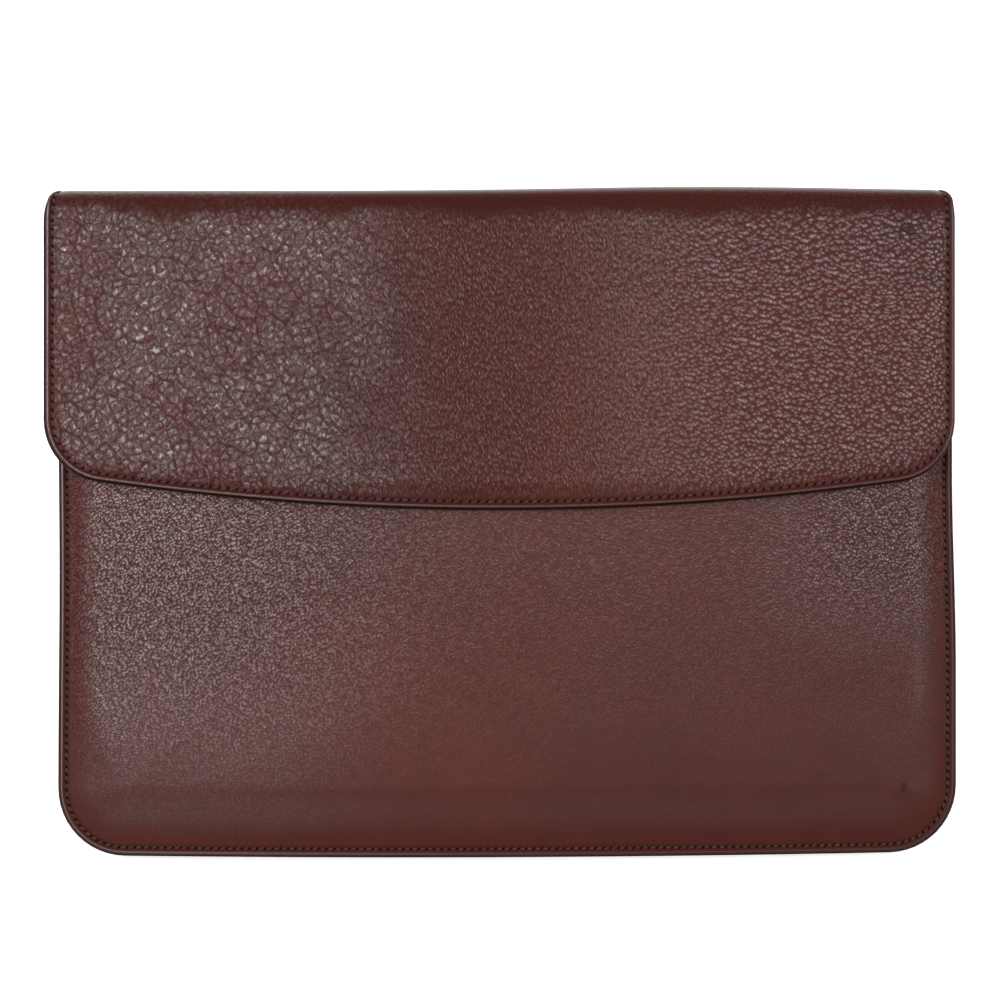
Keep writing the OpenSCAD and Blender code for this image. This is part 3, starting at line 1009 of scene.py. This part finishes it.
def pocket_cut(end):
    """A pocket lining's outline, inside the pouch's, up to the height end."""
    return Cut(grown(POUCH_OUTLINE, -LINING_INSET), POCKET_STEPS, 3.5, (end, 1))


POCKET_STEPS = 90
POCKET_RINGS = [0, 0.8, 2, 3.5, 5, 7, 9, 11, 14, POUCH_CORNER - LINING_INSET]
front_cut = pocket_cut(MOUTH_Y - FRONT_FACING_L)
front_lining = sheet_object("front_lining_suede", front_cut, POCKET_RINGS, place_front_lining)
dressed(front_lining, SUEDE, ["front_lining"], on="sleeve")
back_cut = pocket_cut(MOUTH_Y - BACK_FACING_L)
back_lining = sheet_object("back_lining_suede", back_cut, POCKET_RINGS, place_back_lining)
dressed(back_lining, SUEDE, ["back_lining"], on="sleeve")


# ---- The facings inside the mouth ----

FACING_INSET = LINING_INSET + 0.6
FACING_GAP = 0.3
FACING_XS = rows(
    (POUCH_LEFT + FACING_INSET, 1.2), (POUCH_LEFT + 22, 3),
    (POUCH_RIGHT - 22, 1.2), (POUCH_RIGHT - FACING_INSET, 1),
)


def place_front_facing(x, q, d, outer):
    z = SEAM_Z + SEAM_GAP - GLUE_GAP + pocket_face(q, d, not outer, 0)
    return np.stack([x, q, z], 1)


front_rows = rows((MOUTH_Y - FRONT_FACING_L + FACING_GAP, 1.5), (ROLL_START - ROLL_TAIL - FACING_GAP, 1))
front_facing = strip_object("front_facing_leather", FACING_XS, front_rows, place_front_facing)
dressed(front_facing, BODY_LEATHER, ["front_facing"], on="sleeve")


def place_back_facing(x, q, d, outer):
    """Narrow inside the pocket, then as wide as the fold."""
    wide = smooth(q, MOUTH_Y + 0.5, FOLD_Y + 3)
    t = (x - FACING_XS[0]) / (FACING_XS[-1] - FACING_XS[0])
    full = mix(FLAP_LEFT - LINING_PROUD, FLAP_RIGHT + LINING_PROUD, t)
    edge = np.minimum(full - FLAP_LEFT, FLAP_RIGHT - full)
    dip, puff = back_edge(q)
    in_pocket = pocket_face(q, d, True, 0) - POCKET_RISE
    h = mix(in_pocket - WALL_T + LINING_T, lining_depth(edge, dip, puff), wide)
    return fold_point(mix(x, full, wide), q, h - (0 if outer else LINING_T), False)


back_rows = rows((MOUTH_Y - BACK_FACING_L + FACING_GAP, 2), (MOUTH_Y - 1, 0.6), (FOLD_MIDDLE, 1))
back_facing = strip_object("back_facing_leather", FACING_XS, back_rows, place_back_facing)
dressed(back_facing, BODY_LEATHER, ["back_facing"], bend=SLEEVE_TO_SPINE)


# ---- The foam between leather and lining ----

FOAM_INSET = 7.0
FOAM_RINGS = [0, 0.1, 0.35, 0.75, 2, 5, 9]
FOAM_STEPS = 60
FOAM_DEPTH = LEATHER_T + 2 * GLUE_GAP


def foam_heights(d, dip, puff, outer):
    """The foam lies close under the leather and falls with it toward the seam."""
    fall = dip * (1 - smooth(d + FOAM_INSET, BORDER, puff))
    return face_heights(d, -FOAM_DEPTH, outer, FOAM_T) - fall


def place_flap_foam(x, q, d, outer):
    return fold_point(x, q, foam_heights(d, *flap_edge(q), outer), True)


def place_back_foam(x, q, d, outer):
    return back_point(x, q, foam_heights(d, *back_edge(q), outer))


def place_front_foam(x, q, d, outer):
    sag, dip, puff = front_edge(q)
    return front_point(x, q, q, POUCH_TOP - sag + foam_heights(d, dip, puff, outer))


def foam_sheet(name, outline, end, place):
    """A foam sheet inside a leather one, whose outline is given."""
    low_end = min(end, FOLD_Y) - 4
    cut = Cut(grown(outline, -FOAM_INSET), FOAM_STEPS, 6, (low_end, 1.5), (end, 1))
    return sheet_object(name, cut, FOAM_RINGS + [cut.corner], place)


FOLD_END = FOLD_MIDDLE - 0.2
flap_foam = foam_sheet("flap_foam", FLAP_OUTLINE, FOLD_END, place_flap_foam)
dressed(flap_foam, FOAM, ["flap_padding", "spine_padding"], bend=SPINE_TO_FLAP)
mouth_end = ROLL_START - ROLL_TAIL - FACING_GAP
front_foam = foam_sheet("front_foam", POUCH_OUTLINE, mouth_end, place_front_foam)
dressed(front_foam, FOAM, ["front_padding"], on="sleeve")
back_foam = foam_sheet("back_foam", POUCH_OUTLINE, FOLD_END, place_back_foam)
dressed(back_foam, FOAM, ["back_padding"], bend=SLEEVE_TO_SPINE)


# ---- Stitches ----

FLAP_PITCH = 3.3
POUCH_PITCH = 2.95
MOUTH_PITCH = 3.1
STITCH_LIFT = 0.16
UNDER_LIFT = 0.04
STITCH_JITTER = 0.12
STITCH_SHARE = 0.62
STITCH_W = 0.36
STITCH_H = 0.26
STITCH_SLANT = 0.16
HOLE_L = 1.25
HOLE_W = 0.54
HOLE_H = 0.05
HOLE_SLANT = 0.55


def capsule(length, width, height, rings=6, sides=8):
    """A rounded bar along its first axis, as points and faces."""
    points = [(-length / 2, 0, 0)]
    faces = []
    for i in range(1, rings):
        a = math.pi * i / rings
        u = -length / 2 * math.cos(a)
        size = math.sin(a) ** 0.45
        for k in range(sides):
            b = 2 * math.pi * k / sides
            points.append((u, width * size * math.cos(b), height * size * math.sin(b)))
    points.append((length / 2, 0, 0))
    last = len(points) - 1
    for k in range(sides):
        m = (k + 1) % sides
        faces.append((0, 1 + m, 1 + k))
        faces.append((last, last - sides + k, last - sides + m))
        for i in range(rings - 2):
            a = 1 + i * sides
            faces.append((a + k, a + m, a + sides + m, a + sides + k))
    return np.array(points), faces


def along_path(path, centres):
    """Place and direction at running lengths of a path."""
    x, q, s = path
    step = 0.2
    dx = np.interp(centres + step, s, x) - np.interp(centres - step, s, x)
    dq = np.interp(centres + step, s, q) - np.interp(centres - step, s, q)
    length = np.hypot(dx, dq)
    return np.interp(centres, s, x), np.interp(centres, s, q), dx / length, dq / length


def scatter(shape, path, centres, slant, to_space):
    """Copies of a shape along a path of a sheet; to_space turns sheet points into the frame's."""
    points, faces = shape
    px, pq, dx, dq = along_path(path, centres)
    u, v, w = points.T
    v = v + slant * u
    x = px[:, None] + u * dx[:, None] - v * dq[:, None]
    q = pq[:, None] + u * dq[:, None] + v * dx[:, None]
    d = np.repeat(STITCH_INSET + v[None, :], len(centres), 0)
    h = np.repeat(w[None, :], len(centres), 0)
    verts = to_space(x.ravel(), q.ravel(), d.ravel(), h.ravel())
    n = len(points)
    out = [tuple(int(i) + n * k for i in f) for k in range(len(centres)) for f in faces]
    flat = np.stack([x.ravel(), q.ravel(), h.ravel()], 1)
    return verts, out, flat


def stitch_row(name, path, pitch, to_space, seed, lift=STITCH_LIFT):
    """A row of stitches with dark discs between them as the needle holes' painted shade, as one object of
    two materials.
    """
    total = path[2][-1]
    count = int((total - pitch) / pitch)
    start = (total - count * pitch) / 2
    centres = start + pitch * (np.arange(count) + 0.5)
    jitter = np.array([noise.noise(Vector((i * 0.7, seed, 0))) for i in range(count)])
    centres = centres + STITCH_JITTER * jitter

    def thread_at(x, q, d, h):
        return to_space(x, q, np.full(len(d), STITCH_INSET), h + lift)

    def hole_shade_at(x, q, d, h):
        return to_space(x, q, d, h + HOLE_H)

    bar = capsule(STITCH_SHARE * pitch, STITCH_W, STITCH_H)
    lens = capsule(HOLE_L, HOLE_W, HOLE_H, 6, 10)
    a = scatter(bar, path, centres, STITCH_SLANT, thread_at)
    b = scatter(lens, path, centres[:-1] + pitch / 2, HOLE_SLANT, hole_shade_at)
    verts = np.concatenate([a[0], b[0]])
    faces = a[1] + [tuple(i + len(a[0]) for i in f) for f in b[1]]
    obj = new_object(name, verts, faces, {"cloth": np.concatenate([a[2], b[2]])}, sharp=80)
    obj.data.materials.append(THREAD)
    obj.data.materials.append(HOLE_SHADE)
    which = [0] * len(a[1]) + [1] * len(b[1])
    obj.data.polygons.foreach_set("material_index", which)
    return obj


def on_flap(x, q, d, h):
    return fold_point(x, q, edge_profile(d, *flap_edge(q)) + h, True)


def under_flap(x, q, d, h):
    lining = np.maximum(WALL_T, flap_edge(q)[0] + LEATHER_T + GLUE_GAP + LINING_T)
    return fold_point(x, q, -lining - h, True)


def on_front(x, q, d, h):
    sag, dip, puff = front_edge(q)
    return front_point(x, q, q, POUCH_TOP - sag + edge_profile(d, dip, puff) + h)


def on_back(x, q, d, h):
    return back_point(x, q, edge_profile(d, *back_edge(q)) + h)


def trimmed(cut, d, end):
    """A cut's stitch path that stops at the length end on both sides."""
    x, q, s = cut.path(d)
    keep = np.nonzero(q <= end)[0]
    a, b = keep[0], keep[-1] + 1
    return x[a:b], q[a:b], s[a:b] - s[a]


def on_mouth(x, q, d, h):
    well_inside = np.full(len(x), 40.0)
    z = POUCH_TOP + body_relief(x, q, well_inside) + h
    return np.stack([x + pouch_sway(x, q), q, z], 1)


MOUTH_STITCH_Y = ROLL_START - 1.6
mouth_xs = np.linspace(POUCH_LEFT + SIDE_PUFF_END, POUCH_RIGHT - SIDE_PUFF_END, 400)
mouth_path = (mouth_xs, np.full(len(mouth_xs), MOUTH_STITCH_Y), mouth_xs - mouth_xs[0])
flap_path = FLAP_CUT.path(STITCH_INSET)
under_path = trimmed(FLAP_CUT, STITCH_INSET, FOLD_Y)
front_path = trimmed(FRONT_CUT, STITCH_INSET, MOUTH_Y - 2)
back_path = BACK_CUT.path(STITCH_INSET + BACK_PROUD)

flap_row = stitch_row("flap_stitches", flap_path, FLAP_PITCH, on_flap, 1.0)
seat(flap_row, ["flap_thread", "spine_thread"], bend=SPINE_TO_FLAP)
under_row = stitch_row("flap_stitches_inside", under_path, FLAP_PITCH, under_flap, 2.0, UNDER_LIFT)
seat(under_row, ["flap_thread"], bend=SPINE_TO_FLAP)
front_row = stitch_row("pouch_stitches", front_path, POUCH_PITCH, on_front, 3.0)
seat(front_row, ["body_thread"], on="sleeve")
back_row = stitch_row("back_stitches", back_path, POUCH_PITCH, on_back, 4.0)
seat(back_row, ["body_thread"], bend=SLEEVE_TO_SPINE)
mouth_row = stitch_row("mouth_stitches", mouth_path, MOUTH_PITCH, on_mouth, 5.0)
seat(mouth_row, ["mouth_thread"], on="sleeve")


# ---- Finish of the hidden CAD pieces ----

MAGNET = magnet_material()
PATCH = patch_material()
for node, obj in frame["nodes"].items():
    if "magnet" in node:
        chosen = PATCH if "patch" in node else MAGNET
        obj.data.materials.clear()
        obj.data.materials.append(chosen)


# ---- Floor, light and camera ----

# The floor's reach and height are in metres, and it lies just under the sleeve
FLOOR_REACH = 4.0
FLOOR_Z = -0.0004
FLOOR_GLOW = 0.60
LENS = 150
SENSOR_W = 36
VIEW_W = 381.0
VIEW_Y = 8.5
SHADE_LEVEL = 0.12
SEEN_LEVEL = 1.0
# Name, place and target in metres, width and height in metres, power in watts
LIGHTS = [
    ("sheen_left", (-0.52, 0.20, 1.05), (-0.05, 0, 0), (0.45, 0.7), 6.5),
    ("sheen_right", (0.62, 0.22, 1.05), (0.05, 0, 0), (0.4, 0.6), 3.5),
    ("key", (-1.20, 0.70, 1.00), (0, 0, 0), (1.3, 1.3), 18),
    ("fill", (1.30, 0.40, 0.95), (0, 0, 0), (1.3, 1.3), 14),
    ("front", (0.0, -1.30, 0.85), (0, 0, 0), (1.4, 0.7), 5),
]


def floor():
    """White paper that glows a little, so that it comes out nearly white."""
    mesh = bpy.data.meshes.new("studio_floor")
    corners = [(-1, -1), (1, -1), (1, 1), (-1, 1)]
    mesh.from_pydata([(x * FLOOR_REACH, y * FLOOR_REACH, FLOOR_Z) for x, y in corners], [], [(0, 1, 2, 3)])
    obj = linked("studio_floor", mesh)
    paper = Nodes("studio_paper").finish(
        base_color=(0.93, 0.93, 0.93, 1), roughness=0.9, specular_ior_level=0.1,
        emission_color=(1, 1, 1, 1), emission_strength=FLOOR_GLOW,
    )
    obj.data.materials.append(paper)


def area_light(name, place, target, size, power):
    data = bpy.data.lights.new(name, "AREA")
    data.shape = "RECTANGLE"
    data.size, data.size_y = size
    data.energy = power
    obj = linked(name, data)
    obj.location = place
    obj.rotation_euler = (Vector(target) - Vector(place)).to_track_quat("-Z", "Y").to_euler()


def camera():
    """Straight above the front face, with the fold at the top of the picture."""
    data = bpy.data.cameras.new("camera")
    data.lens = LENS
    data.sensor_width = SENSOR_W
    obj = linked("camera", data)
    distance = VIEW_W * LENS / SENSOR_W
    obj.location = ((FLAP_LEFT + FLAP_RIGHT) / 2 * MM, VIEW_Y * MM, (FLAP_TOP + distance) * MM)
    bpy.context.scene.camera = obj


def studio_world():
    """White walls, which light the sleeve less than the camera sees them."""
    world = bpy.data.worlds.new("studio")
    bpy.context.scene.world = world
    world.use_nodes = True
    shell = world.node_tree
    seen = shell.nodes.new("ShaderNodeLightPath").outputs["Is Camera Ray"]
    level = shell.nodes.new("ShaderNodeMapRange")
    level.inputs["To Min"].default_value = SHADE_LEVEL
    level.inputs["To Max"].default_value = SEEN_LEVEL
    shell.links.new(seen, level.inputs["Value"])
    background = shell.nodes["Background"]
    background.inputs[0].default_value = (1, 1, 1, 1)
    shell.links.new(level.outputs[0], background.inputs[1])


floor()
camera()
for light in LIGHTS:
    area_light(*light)
studio_world()
bpy.context.scene.view_settings.view_transform = "Standard"
